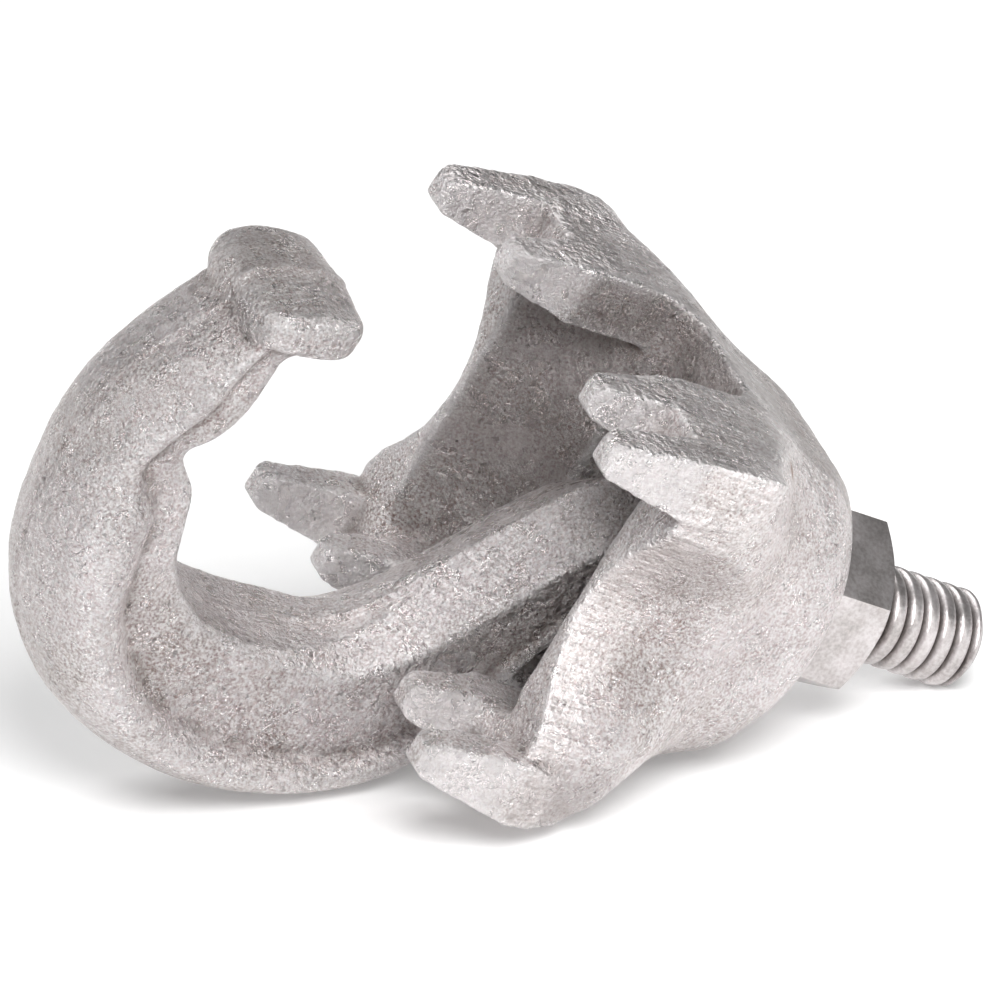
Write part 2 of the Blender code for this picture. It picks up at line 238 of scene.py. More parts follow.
# The floor's glow: strength near the clamp and far out, between shares of a reach of 4 m.
FLOOR_REACH_SCALE = 0.25
FLOOR_GLOW = [(0.12, 0.2), (0.5, 0.6)]

# Colours of the castings.
ZINC_PATCHES = [(0.32, (0.57, 0.52, 0.505)), (0.68, (0.76, 0.70, 0.70))]
STRIPE_TONES = [(0.36, (0.42, 0.38, 0.37)), (0.62, (0.97, 0.92, 0.92))]
# Painted shade.
PAINTED_SHADE_COLOR = (0.27, 0.235, 0.225)
SPECK_COLOR = (0.14, 0.125, 0.115)
# Grime with painted shade in corners.
GRIME_AND_SHADE_COLOR = (0.17, 0.135, 0.115)
# Painted highlight on edges.
EDGE_HIGHLIGHT_COLOR = (0.86, 0.84, 0.84)
# Painted highlight on the claws' faces.
CLAW_HIGHLIGHT_COLOR = (0.93, 0.89, 0.89)
RUST_COLOR = (0.25, 0.12, 0.06)
# Colours of the stud and the nut.
PLATED_PATCHES = [(0.3, (0.46, 0.43, 0.42)), (0.7, (0.69, 0.65, 0.65))]
# Painted shade in the thread roots and the nut's bore.
GROOVE_SHADE_COLOR = (0.10, 0.085, 0.075)


# ---------------------------------------------------------------- the clamp's axes, from the record
def clamp_axes():
    """The matrix from the clamp's own axes, in metres, to the row frame."""
    joints = {joint["name"]: joint for joint in frame["joints"]}
    mounts = {mount["name"]: mount for mount in frame["record"]["mounts"]}
    along = Vector(joints["saddle_slide"]["axis"]).normalized()
    near = Vector(mounts["tube_seat_near"]["pos_m"])
    far = Vector(mounts["tube_seat_far"]["pos_m"])
    tube = (near - far).normalized()
    tube = (tube - along * tube.dot(along)).normalized()
    up = along.cross(tube)
    origin = Vector(joints["nut_spin"]["pos_m"]) - along * NUT_PIVOT_A * MM
    axes = Matrix((along, tube, up)).transposed().to_4x4()
    axes.translation = origin
    return axes


AXES = clamp_axes()


# ---------------------------------------------------------------- mesh building
def mesh_object(name, verts, faces):
    """A mesh object from points (a, n, p) in millimetres, its faces turned outwards."""
    mesh = bpy.data.meshes.new(name)
    mesh.from_pydata([(a * MM, n * MM, p * MM) for a, n, p in verts], [], faces)
    shape = bmesh.new()
    shape.from_mesh(mesh)
    bmesh.ops.recalc_face_normals(shape, faces=shape.faces)
    shape.to_mesh(mesh)
    shape.free()
    obj = bpy.data.objects.new(name, mesh)
    bpy.context.collection.objects.link(obj)
    return obj


def loft(rings):
    """Points and faces of a closed skin over rings of equal length."""
    count = len(rings[0])
    verts = [point for ring in rings for point in ring]
    faces = []
    for row in range(len(rings) - 1):
        for i in range(count):
            j = (i + 1) % count
            first = row * count
            faces.append((first + i, first + j, first + count + j, first + count + i))
    faces.append(tuple(range(count))[::-1])
    faces.append(tuple(range((len(rings) - 1) * count, len(rings) * count)))
    return verts, faces


def rounded_rectangle(half_p, half_n, radius):
    """Corner arcs of a rounded rectangle with points along its sides too, as (p, n) points."""
    radius = min(radius, half_p, half_n)
    corners = []
    for quarter in range(4):
        start = quarter * pi / 2
        centre_p = (half_p - radius) * (1 if quarter in (0, 3) else -1)
        centre_n = (half_n - radius) * (1 if quarter in (0, 1) else -1)
        for step in range(ARC_STEPS + 1):
            angle = start + step * pi / 2 / ARC_STEPS
            corners.append((centre_p + radius * cos(angle), centre_n + radius * sin(angle)))
    points = []
    for i, point in enumerate(corners):
        points.append(point)
        if i % (ARC_STEPS + 1) == ARC_STEPS:
            after = corners[(i + 1) % len(corners)]
            for step in range(1, ARC_STEPS):
                share = step / ARC_STEPS
                points.append(tuple(x + (y - x) * share for x, y in zip(point, after)))
    return points


def turned(profile, count=ROUND_SEGMENTS):
    """A solid of revolution about a through (a, radius) pairs."""
    turn = [2 * pi * i / count for i in range(count)]
    return loft([[(a, radius * cos(t), radius * sin(t)) for t in turn] for a, radius in profile])


def prism_along_p(outline, low_p, high_p):
    """A solid with the outline's (a, n) points, from low_p to high_p."""
    return loft([[(a, n, p) for a, n in outline] for p in (low_p, high_p)])


def prism_along_n(outline, half_n):
    """A solid with the outline's (a, p) points, centred on n = 0."""
    return loft([[(a, n, p) for a, p in outline] for n in (-half_n, half_n)])


def joined(parts):
    """One list of points and faces from several closed skins."""
    verts, faces = [], []
    for part_verts, part_faces in parts:
        offset = len(verts)
        verts += part_verts
        faces += [tuple(i + offset for i in face) for face in part_faces]
    return verts, faces


def settle(obj):
    """Applies the object's modifiers."""
    graph = bpy.context.evaluated_depsgraph_get()
    mesh = bpy.data.meshes.new_from_object(obj.evaluated_get(graph))
    obj.modifiers.clear()
    obj.data = mesh
    return obj


def combine(target, tool, operation):
    """Applies a Boolean with a tool object, which is then removed."""
    modifier = target.modifiers.new(tool.name, "BOOLEAN")
    modifier.operation = operation
    modifier.solver = "EXACT"
    modifier.object = tool
    settle(target)
    bpy.data.objects.remove(tool)


def smooth_rows(rows, steps):
    """Catmull-Rom rows between the given rows, steps to a gap."""
    rows = [np.array(row, float) for row in rows]
    last = len(rows) - 1
    made = []
    for i in range(last):
        before, start, end, after = (rows[min(max(k, 0), last)] for k in (i - 1, i, i + 1, i + 2))
        for step in range(steps):
            t = step / steps
            bend = 2 * before - 5 * start + 4 * end - after
            twist = 3 * (start - end) + after - before
            made.append(0.5 * (2 * start + (end - before) * t + bend * t * t + twist * t ** 3))
    made.append(rows[-1])
    return made


# ---------------------------------------------------------------- cast skins
def neighbour_mean(points, edges, counts):
    """The mean place of each point's neighbours."""
    total = np.empty_like(points)
    size = len(points)
    for axis in range(3):
        forth = np.bincount(edges[:, 0], points[edges[:, 1], axis], size)
        back = np.bincount(edges[:, 1], points[edges[:, 0], axis], size)
        total[:, axis] = forth + back
    return total / counts


def vertex_normals(points, quads):
    """Unit normals at the points of a skin of quads."""
    forth = points[quads[:, 2]] - points[quads[:, 0]]
    back = points[quads[:, 3]] - points[quads[:, 1]]
    across = np.cross(forth, back)
    normals = np.zeros_like(points)
    for corner in range(4):
        for axis in range(3):
            normals[:, axis] += np.bincount(quads[:, corner], across[:, axis], len(points))
    return normals / np.maximum(np.linalg.norm(normals, axis=1, keepdims=True), 1e-12)


def cast_skin(obj, voxel, soften, fill, lumps, melted=None):
    """Turns the object into a casting: one even skin, rounded edges, filled-in corners and soft lumps.

    soften and fill are rounds of smoothing, for the whole skin and for its hollows. lumps holds a height,
    a size and the pimples' height. melted gives each point's share in a longer smoothing.
    It leaves the point attributes cavity and ridge, how far a point lies in a corner or on an edge."""
    remesh = obj.modifiers.new("skin", "REMESH")
    remesh.mode = "VOXEL"
    remesh.voxel_size = voxel * MM
    settle(obj)
    mesh = obj.data
    size = len(mesh.vertices)
    points = np.empty(size * 3)
    mesh.vertices.foreach_get("co", points)
    points = points.reshape(-1, 3) / MM
    edges = np.empty(len(mesh.edges) * 2, np.int64)
    mesh.edges.foreach_get("vertices", edges)
    edges = edges.reshape(-1, 2)
    counts = np.bincount(edges.ravel(), minlength=size).reshape(-1, 1)
    quads = np.empty(len(mesh.loops), np.int64)
    mesh.loops.foreach_get("vertex_index", quads)
    quads = quads.reshape(-1, 4)
    rounds = (voxel_scale(voxel, soften), voxel_scale(voxel, fill))
    for _ in range(rounds[0]):
        points += 0.5 * (neighbour_mean(points, edges, counts) - points)
    normals = vertex_normals(points, quads)
    for turn in range(rounds[1]):
        if turn % 6 == 5:
            normals = vertex_normals(points, quads)
        pull = neighbour_mean(points, edges, counts) - points
        hollow = (pull * normals).sum(1, keepdims=True) > 0
        points += 0.5 * pull * hollow
    if melted:
        share = 0.5 * melted(points)[:, None]
        for _ in range(voxel_scale(voxel, MELT_ROUNDS)):
            points += share * (neighbour_mean(points, edges, counts) - points)
    normals = vertex_normals(points, quads)
    relaxed = points.copy()
    for _ in range(voxel_scale(voxel, RELAX_ROUNDS)):
        relaxed += 0.5 * (neighbour_mean(relaxed, edges, counts) - relaxed)
    depth = ((relaxed - points) * normals).sum(1)
    lump = np.array([noise.fractal(Vector(p) / lumps[1], 0.7, 2.0, 3) for p in points])
    points += normals * (lump * lumps[0])[:, None]
    if voxel < PIMPLE_VOXEL:
        pimple = np.array([noise.fractal(Vector(p) / PIMPLE_SIZE, 0.6, 2.0, 2) for p in points])
        points += normals * (pimple * lumps[2])[:, None]
    mesh.vertices.foreach_set("co", (points * MM).ravel())
    for name, values in (("cavity", depth), ("ridge", -depth)):
        paint(obj, name, values / FULL_DEPTH)
    mesh.shade_smooth()
    mesh.update()
    return points, normals


def voxel_scale(voxel, rounds):
    """Rounds of smoothing that reach as far as they do with the fine voxel."""
    return max(1, int(round(rounds * (FINE_VOXEL / voxel) ** 2)))


def paint(obj, name, values):
    """Leaves a value from 0 to 1 at each point, for the materials."""
    layer = obj.data.attributes.new(name, "FLOAT", "POINT")
    layer.data.foreach_set("value", np.clip(values, 0, 1).astype(np.float32))


def paint_groove(obj, radius):
    """Marks for painted shade what lies inside a radius round the thread's axis: the thread's roots and
    the nut's bore.
    """
    points = np.array([vertex.co for vertex in obj.data.vertices]) / MM
    paint(obj, "groove", fade(np.hypot(points[:, 1], points[:, 2]), radius, radius - 0.7))


def fade(values, start, end):
    """0 at start, 1 at end, straight between."""
    return np.clip((values - start) / (end - start), 0, 1)


# ---------------------------------------------------------------- pieces
def thread_skin(start_a, end_a, radius_shift):
    """A closed helical skin: a turn's points on every meridian, joined to the next turn at the seam."""
    per_turn = len(THREAD_TURN)
    rings = int(round((end_a - start_a) / THREAD_PITCH * per_turn)) + per_turn
    root = STUD_RADIUS - THREAD_DEPTH + radius_shift
    verts = []
    for ring in range(rings):
        share, height = THREAD_TURN[ring % per_turn]
        for i in range(THREAD_SEGMENTS):
            angle = 2 * pi * i / THREAD_SEGMENTS
            a = start_a + THREAD_PITCH * (ring // per_turn + share + i / THREAD_SEGMENTS - 1)
            radius = root + THREAD_DEPTH * height
            verts.append((a, -radius * sin(angle), radius * cos(angle)))
    count = THREAD_SEGMENTS

    def index(ring, i):
        return (ring + per_turn * (i // count)) * count + i % count

    faces = []
    for ring in range(rings - 1):
        for i in range(count):
            corners = [(ring, i), (ring, i + 1), (ring + 1, i + 1), (ring + 1, i)]
            numbers = [index(*corner) for corner in corners]
            if max(numbers) < len(verts):
                faces.append(tuple(numbers))
    low = [index(0, i) for i in range(count)] + [index(ring, 0) for ring in range(per_turn, 0, -1)]
    top = rings - 1
    high = [index(top, i) for i in range(count)]
    high += [index(ring, count - 1) for ring in range(top - 1, top - per_turn - 1, -1)]
    for loop, a in ((low[::-1], verts[0][0]), (high, verts[-1][0])):
        verts.append((a, 0.0, 0.0))
        centre = len(verts) - 1
        faces += [(loop[i], loop[(i + 1) % len(loop)], centre) for i in range(len(loop))]
    return verts, faces


def make_stud():
    blank = [
        (STUD_END_A, 0.4),
        (STUD_END_A, STUD_TIP_RADIUS - 0.5),
        (STUD_END_A + 0.15, STUD_TIP_RADIUS),
        (STUD_END_A + STUD_CHAMFER, BLANK_RADIUS - 0.2),
        (STUD_END_A + STUD_CHAMFER + 0.4, BLANK_RADIUS),
        (THREAD_START_A, BLANK_RADIUS),
    ]
    stud = mesh_object("stud", *thread_skin(STUD_END_A, THREAD_START_A, 0.0))
    combine(stud, mesh_object("blank", *turned(blank)), "INTERSECT")
    paint_groove(stud, STUD_RADIUS - 0.5)
    stud.data.shade_smooth()
    stud.data.set_sharp_from_angle(angle=radians(50.0))
    return stud


def bead_half_width(t, web_end, thick, bead):
    """Half width of the outer bead at depth t: a round form, flatter towards the web."""
    length = thick - web_end
    centre = web_end + 0.42 * length
    if t < centre:
        reach = (centre - t) / (0.52 * length)
        return bead * sqrt(max(0.0, 1 - reach ** 2.4))
    reach = (t - centre) / (0.6 * length)
    return bead * max(0.0, 1 - reach ** 1.9) ** 0.62


def hook_ring(station):
    """One closed section of the hook: flat-sided web on the inside, round bead on the outside."""
    inner_a, inner_p, outer_a, outer_p, edge, web, depth, bead, share = station
    inner = Vector((inner_a, inner_p))
    across = Vector((outer_a, outer_p)) - inner
    thick = across.length
    across /= thick
    web_end = depth + (thick - depth) * share
    side = []
    for i in range(SIDE_POINTS + 1):
        t = thick * i / SIDE_POINTS
        if t < depth:
            half = edge + (web - edge) * t / depth
        else:
            half = web * (1.0 if t < web_end else max(0.0, 1 - (t - web_end) / (thick - web_end)))
        half = max(half, bead_half_width(t, web_end, thick, bead), HOOK_MIN_HALF)
        side.append((t, half))
    ring = []
    for along, half in side:
        point = inner + across * along
        ring.append((point.x, half, point.y))
    for along, half in reversed(side):
        point = inner + across * along
        ring.append((point.x, -half, point.y))
    return ring


def tip_ring(section):
    """One section of the cross piece: a rounded bar, a little higher in the middle of its outer side."""
    a, low, high, half = section
    middle = (low + high) / 2
    tall = (high - low) / 2
    ring = []
    for p, n in rounded_rectangle(tall, half, TIP_CORNER_RADIUS):
        crown = TIP_CROWN * (1 - abs(n) / half) if p > 0 else 0.0
        ring.append((a, n, middle + p + crown))
    return ring


def make_hook():
    rings = [hook_ring(station) for station in smooth_rows(HOOK_STATIONS, STATION_STEPS)]
    hook = mesh_object("hook", *loft(rings))
    tip = [tip_ring(section) for section in smooth_rows(TIP_SECTIONS, 4)]
    combine(hook, mesh_object("tip", *loft(tip)), "UNION")
    points, normals = cast_skin(hook, VOXEL, soften=2, fill=10, lumps=HOOK_LUMPS)
    # Parting line: a low ridge round the outer crest and along the bar.
    a, n, _ = points.T
    facing_n, facing_p = normals[:, 1], normals[:, 2]
    ridge = np.exp(-(n / PARTING_WIDTH) ** 2) * fade(a, -40.0, -30.0)
    outward = np.abs(facing_n) < 0.55
    tall = PARTING_HEIGHT + PARTING_BAR_HEIGHT * fade(a, 12.0, 0.0)
    shifted = points + normals * (tall * ridge * outward)[:, None]
    hook.data.vertices.foreach_set("co", (shifted * MM).ravel())
    hook.data.update()
    # The bar's upper side is lightly ground, and the hook has no rust and no painted highlight.
    bar = fade(a, 30.0, 10.0) * fade(facing_p, 0.2, 0.6)
    paint(hook, "ground", bar * 0.5)
    for name in ("rust", "bright"):
        paint(hook, name, np.zeros(len(points)))
    # Painted shade: the neck, the bar's sides, the underside and the outer crest are darkened where they
    # lie in shadow.
    neck = fade(a, -22.0, -34.0)
    shaded = fade(a, 4.0, -14.0) * fade(facing_p, 0.45, 0.1) * 0.7
    under = fade(facing_p, -0.3, -0.9) * 0.4
    crest = fade(np.abs(facing_n), 0.8, 0.35) * fade(a, 8.0, 24.0) * 0.45
    paint(hook, "painted_shade", np.maximum.reduce([neck, shaded, under, crest]))
    return hook


def claw_skin(sections, side_p, side_n):
    """One claw's closed skin, on the side of p and n that the signs say."""
    rings = []
    for a, low_p, high_p, low_n, high_n in sections:
        corners = ((low_p, low_n), (high_p, low_n), (high_p, high_n), (low_p, high_n))
        rings.append([(a, side_n * n, side_p * p) for p, n in corners])
    return loft(rings)


def slot_outline():
    """The slot's U in (a, n), open towards the hook."""
    outline = [(10.0, -SLOT_HALF_N), (10.0, SLOT_HALF_N)]
    for step in range(2 * ARC_STEPS + 1):
        angle = step * pi / 2 / ARC_STEPS
        middle = (SLOT_HALF_N - SLOT_CORNER_RADIUS) * (1 if step <= ARC_STEPS else -1)
        n = middle + SLOT_CORNER_RADIUS * cos(angle)
        outline.append((SLOT_FLOOR_A + SLOT_CORNER_RADIUS * (1 - sin(angle)), n))
    return outline


def fluted(a, n, p):
    """n moved in to the flute between the towers, with a soft step into it."""
    reach = max(0.0, FLUTE_RADIUS ** 2 - p * p)
    limit = FLUTE_CENTRE_N + FLUTE_SLOPE * (RIM_A - a) - sqrt(reach)
    gap = max(0.0, FLUTE_SOFTNESS - abs(abs(n) - limit)) / FLUTE_SOFTNESS
    inside = min(abs(n), limit) - gap * gap * FLUTE_SOFTNESS / 4
    foot = fade(p, *FLANK_RISE_P) * fade(a, *FLANK_RISE_A) * fade(abs(n), *FLANK_RISE_N)
    inside += FLANK_RISE * foot * foot * (3 - 2 * foot)
    return inside if n > 0 else -inside


def bowl_ledge(points):
    """Where the bowl's wall runs up into the claws' feet, which the casting rounds off widely."""
    a, n, p = points[:, 0], np.abs(points[:, 1]), np.abs(points[:, 2])
    ledge = fade(p, 18.5, 21.5) * fade(p, 29.0, 26.5)
    ledge = ledge * fade(a, -9.0, -13.0) * fade(a, -33.0, -30.0)
    return ledge * fade(n, 32.0, 29.0) * fade(n, 15.0, 17.0)


def make_saddle():
    rings = []
    for a, half_p, half_n, radius in smooth_rows(SADDLE_SECTIONS, 4):
        outline = rounded_rectangle(half_p, half_n, radius)
        rings.append([(a, fluted(a, n, p) if abs(n) > 8 else n, p) for p, n in outline])
    saddle = mesh_object("saddle_casting", *loft(rings))
    angles = [2 * pi * i / ROUND_SEGMENTS for i in range(ROUND_SEGMENTS)]
    bowl = [(BOWL_CENTRE_A + BOWL_RADIUS * sin(t), BOWL_RADIUS * cos(t)) for t in angles]
    combine(saddle, mesh_object("bowl", *prism_along_p(bowl, -BOWL_HALF_P, BOWL_HALF_P)), "DIFFERENCE")
    claws = []
    for side_n in (1, -1):
        for side_p, outer in ((1, UPPER_CLAW), (-1, LOWER_CLAW)):
            claws += [claw_skin(INNER_CLAW, side_p, side_n), claw_skin(outer, side_p, side_n)]
    combine(saddle, mesh_object("claws", *joined(claws)), "UNION")
    combine(saddle, mesh_object("slot", *prism_along_p(slot_outline(), -60.0, 60.0)), "DIFFERENCE")
    pocket = prism_along_n(POCKET_OUTLINE, POCKET_HALF_N)
    combine(saddle, mesh_object("pocket", *pocket), "DIFFERENCE")
    hole = turned([(-80.0, SHANK_HOLE_RADIUS), (-30.0, SHANK_HOLE_RADIUS)])
    combine(saddle, mesh_object("hole", *hole), "DIFFERENCE")
    voxel = VOXEL * 1.1
    points, normals = cast_skin(saddle, voxel, soften=2, fill=16, lumps=SADDLE_LUMPS, melted=bowl_ledge)
    paint_saddle(saddle, points, normals)
    return saddle


def paint_saddle(saddle, points, normals):
    """Marks what is ground and rusty on the saddle, and where it gets painted shade and painted highlight.
    """
    a, n, p = points.T
    facing_n, facing_p = normals[:, 1] * np.sign(n), normals[:, 2] * np.sign(p)
    # Ground: the claws' flat sides, the flank between them below the rim, and the towers' outer sides.
    flats = fade(facing_p, 0.6, 0.85) * fade(np.abs(p), 27.0, 30.0)
    flank = fade(facing_n, 0.4, 0.6) * fade(a, -27.0, -19.0) * fade(np.abs(n), 24.0, 27.0)
    flank = flank * (np.abs(p) < 24)
    ribs = fade(facing_n, 0.4, 0.6) * fade(np.abs(n), 39.0, 40.0) * fade(a, -12.0, -16.0)
    paint(saddle, "ground", np.maximum.reduce([flats, flank, ribs]))
    spots = [np.linalg.norm(points - np.array(spot), axis=1) for spot in RUST_SPOTS]
    paint(saddle, "rust", np.maximum.reduce([fade(away, 1.9, 0.9) for away in spots]))
    # Painted shade: the bowl, the pocket, the underside and the corner below the lower claws are darkened
    # where they lie in shadow.
    across = np.hypot(a - BOWL_CENTRE_A, n)
    bowl_wall = fade(across, BOWL_RADIUS + 1.5, BOWL_RADIUS + 0.7)
    bowl_wall = bowl_wall * fade(p, 27.0, 24.0) * fade(p, -24.0, -8.0)
    pocket_wall = fade(np.abs(n), 15.5, 14.6) * fade(a, -13.0, -17.0)
    under = fade(normals[:, 2], -0.1, -0.7) * 0.85
    corner = fade(a, -14.4, -16.4) * fade(a, -37.0, -29.0)
    corner = corner * fade(p, -20.0, -27.0) * fade(np.abs(n), 28.0, 34.0) * 0.8
    painted_shade = np.maximum.reduce([bowl_wall, pocket_wall, under, corner])
    paint(saddle, "painted_shade", painted_shade * fade(a, -62.0, -58.0))
    # Painted highlight: the claws' faces along n.
    claws = fade(a, -15.5, -12.0) * fade(np.abs(p), 22.0, 24.5)
    paint(saddle, "bright", claws * fade(np.abs(facing_n), 0.2, 0.6))


def make_nut():
    spin = radians(NUT_TURN)
    reach = NUT_FLATS / 2 / cos(pi / 6)
    rings = []
    turns = [spin + i * pi / 3 for i in range(6)]
    for a in (NUT_SEAT_A, NUT_SEAT_A - NUT_LENGTH):
        rings.append([(a, reach * cos(turn), reach * sin(turn)) for turn in turns])
    nut = mesh_object("nut", *loft(rings))
    face = NUT_FLATS / 2 - 0.4
    low = NUT_SEAT_A - NUT_LENGTH
    corner = [
        (low - 0.02, face - 0.9),
        (low + 0.1, face),
        (low + 1.6, reach + 0.1),
        (NUT_SEAT_A - 1.1, reach + 0.1),
        (NUT_SEAT_A + 0.02, reach - 1.5),
    ]
    combine(nut, mesh_object("corner", *turned(corner)), "INTERSECT")
    round_edges = nut.modifiers.new("edges", "BEVEL")
    round_edges.width = NUT_EDGE_RADIUS * MM
    round_edges.segments = 3
    round_edges.limit_method = "ANGLE"
    round_edges.angle_limit = radians(25.0)
    settle(nut)
    thread = thread_skin(STUD_END_A, THREAD_START_A, RUNNING_GAP)
    combine(nut, mesh_object("nut_thread", *thread), "DIFFERENCE")
    mouths = joined([
        turned([(low - 0.02, NUT_MOUTH_RADIUS), (low + NUT_MOUTH_DEPTH, NUT_BORE_RADIUS)]),
        turned([
            (NUT_SEAT_A - NUT_MOUTH_DEPTH, NUT_BORE_RADIUS),
            (NUT_SEAT_A + 0.02, NUT_MOUTH_RADIUS),
        ]),
    ])
    combine(nut, mesh_object("mouths", *mouths), "DIFFERENCE")
    paint_groove(nut, STUD_RADIUS + 0.2)
    nut.data.shade_smooth()
    nut.data.set_sharp_from_angle(angle=radians(35.0))
    return nut


# ---------------------------------------------------------------- materials
class Nodes:
    """Short ways to add and link shader nodes."""

    def __init__(self, name):
        self.material = bpy.data.materials.new(name)
        self.material.use_nodes = True
        self.tree = self.material.node_tree
        self.shader = self.tree.nodes["Principled BSDF"]
        self.place = self.tree.nodes.new("ShaderNodeTexCoord").outputs["Object"]

    def follow_clamp(self):
        """Places the patterns by the clamp's own axes, a, n and p, in metres."""
        back = AXES.inverted()
        node = self.tree.nodes.new("ShaderNodeMapping")
        node.inputs["Location"].default_value = back.translation
        node.inputs["Rotation"].default_value = back.to_euler()
        self.link(self.place, node.inputs["Vector"])
        self.place = node.outputs["Vector"]

    def link(self, source, target):
        self.tree.links.new(source, target)

    def stretched(self, scale):
        node = self.tree.nodes.new("ShaderNodeMapping")
        node.inputs["Scale"].default_value = scale
        self.link(self.place, node.inputs["Vector"])
        return node.outputs["Vector"]

    def noise(self, scale, detail=3.0, rough=0.55, place=None):
        node = self.tree.nodes.new("ShaderNodeTexNoise")
        node.inputs["Scale"].default_value = scale
        node.inputs["Detail"].default_value = detail
        node.inputs["Roughness"].default_value = rough
        self.link(place or self.place, node.inputs["Vector"])
        return node.outputs["Fac"]

    def ramp(self, value, stops):
        """A colour ramp; stops are (position, grey or colour)."""
        node = self.tree.nodes.new("ShaderNodeValToRGB")
        elements = node.color_ramp.elements
        while len(elements) < len(stops):
            elements.new(0.5)
        for element, (position, color) in zip(elements, stops):
            element.position = position
            if not hasattr(color, "__len__"):
                color = (color, color, color)
            element.color = (*color, 1.0)
        self.link(value, node.inputs["Fac"])
        return node.outputs["Color"]

    def math(self, operation, first, second):
        """A Math node; either input is a number or a socket."""
        node = self.tree.nodes.new("ShaderNodeMath")
        node.operation = operation
        for socket, value in zip(node.inputs, (first, second)):
            if isinstance(value, (int, float)):
                socket.default_value = value
            else:
                self.link(value, socket)
        return node.outputs["Value"]

    def mix(self, factor, first, second, blend="MIX"):
        """A colour Mix node; each input is a number, a colour or a socket."""
        node = self.tree.nodes.new("ShaderNodeMix")
        node.data_type = "RGBA"
        node.blend_type = blend
        sockets = {"Factor_Float": factor, "A_Color": first, "B_Color": second}
        for socket in node.inputs:
            if socket.identifier in sockets:
                value = sockets[socket.identifier]
                if isinstance(value, (int, float)):
                    socket.default_value = value
                elif isinstance(value, tuple):
                    socket.default_value = (*value, 1.0)
                else:
                    self.link(value, socket)
        return [s for s in node.outputs if s.identifier == "Result_Color"][0]

    def share(self, socket, amount):
        """A mask's part, for a mix."""
        return self.math("MULTIPLY", socket, amount)

    def attribute(self, name):
        node = self.tree.nodes.new("ShaderNodeAttribute")
        node.attribute_name = name
        return node.outputs["Fac"]

    def bump(self, height, strength, distance, below=None):
        node = self.tree.nodes.new("ShaderNodeBump")
        node.inputs["Strength"].default_value = strength
        node.inputs["Distance"].default_value = distance
        self.link(height, node.inputs["Height"])
        if below is not None:
            self.link(below, node.inputs["Normal"])
        return node.outputs["Normal"]


def galvanised(name):
    """Cast iron under hot-dip zinc: bright and darker patches, dark specks, grain, ground stripes, grime
    with painted shade in corners, painted shade, painted highlights.
    """
    nodes = Nodes(name)
    nodes.follow_clamp()
    patches = nodes.ramp(nodes.noise(55.0, 3.0), ZINC_PATCHES)
    mottle = nodes.noise(420.0, 4.0, 0.65)
    color = nodes.mix(0.5, patches, nodes.ramp(mottle, [(0.3, 0.30), (0.7, 0.95)]), "SOFT_LIGHT")
    pepper = nodes.noise(2100.0, 3.0, 0.7)
    color = nodes.mix(0.9, color, nodes.ramp(pepper, [(0.36, 0.08), (0.6, 0.86)]), "OVERLAY")
    cavity, ridge, ground, painted_shade = (nodes.attribute(n) for n in ("cavity", "ridge", "ground", "painted_shade"))
    # Painted shade on the parts that lie in shadow.
    color = nodes.mix(nodes.share(painted_shade, 0.6), color, PAINTED_SHADE_COLOR)
    # Dark specks, in clusters.
    holes = nodes.ramp(nodes.noise(950.0, 1.5, 0.5), [(0.29, 1.0), (0.35, 0.0)])
    cluster = nodes.ramp(nodes.noise(130.0, 2.0), [(0.38, 0.15), (0.6, 1.0)])
    speck = nodes.math("MULTIPLY", holes, cluster)
    color = nodes.mix(nodes.share(speck, 0.6), color, SPECK_COLOR)
    # Grime with painted shade in corners, painted highlight on edges and on the claws' faces, rust.
    broken = nodes.ramp(nodes.noise(260.0, 3.0), [(0.3, 0.2), (0.6, 1.0)])
    grime_and_shade = nodes.math("MULTIPLY", cavity, broken)
    color = nodes.mix(nodes.share(grime_and_shade, 0.8), color, GRIME_AND_SHADE_COLOR)
    # Painted highlight on the edges.
    color = nodes.mix(nodes.share(ridge, 0.5), color, EDGE_HIGHLIGHT_COLOR)
    # Painted highlight on the claws' faces along n.
    color = nodes.mix(nodes.share(nodes.attribute("bright"), 0.7), color, CLAW_HIGHLIGHT_COLOR)
    color = nodes.mix(nodes.share(nodes.attribute("rust"), 0.9), color, RUST_COLOR)
    # Ground stripes run along a.
    stripes = nodes.noise(1.0, 3.0, 0.6, nodes.stretched((35.0, 1500.0, 1500.0)))
    stripe_tone = nodes.ramp(stripes, STRIPE_TONES)
    color = nodes.mix(nodes.share(ground, 0.35), color, stripe_tone)
    nodes.link(color, nodes.shader.inputs["Base Color"])
    nodes.shader.inputs["Metallic"].default_value = 1.0
    rough = nodes.ramp(nodes.noise(300.0, 3.0), [(0.3, 0.21), (0.7, 0.38)])
    nodes.link(rough, nodes.shader.inputs["Roughness"])
    # Bumps, finest first: grain, less of it where ground, then pits, waves and the ground stripes.
    rough_part = nodes.math("SUBTRACT", 1.0, nodes.share(ground, 0.7))
    grain_height = nodes.math("MULTIPLY", nodes.noise(2300.0, 3.0, 0.65), rough_part)
    grain = nodes.bump(grain_height, 1.0, 0.0011)
    pits = nodes.bump(nodes.math("SUBTRACT", 1.0, speck), 0.3, 0.0003, grain)
    coarse = nodes.ramp(nodes.noise(48.0, 2.0), [(0.4, 0.25), (0.62, 1.0)])
    wave_height = nodes.math("MULTIPLY", nodes.noise(900.0, 2.0, 0.5), coarse)
    waves = nodes.bump(wave_height, 0.8, 0.0016, pits)
    striped = nodes.bump(nodes.math("MULTIPLY", stripes, ground), 0.5, 0.0008, waves)
    nodes.link(striped, nodes.shader.inputs["Normal"])
    return nodes.material


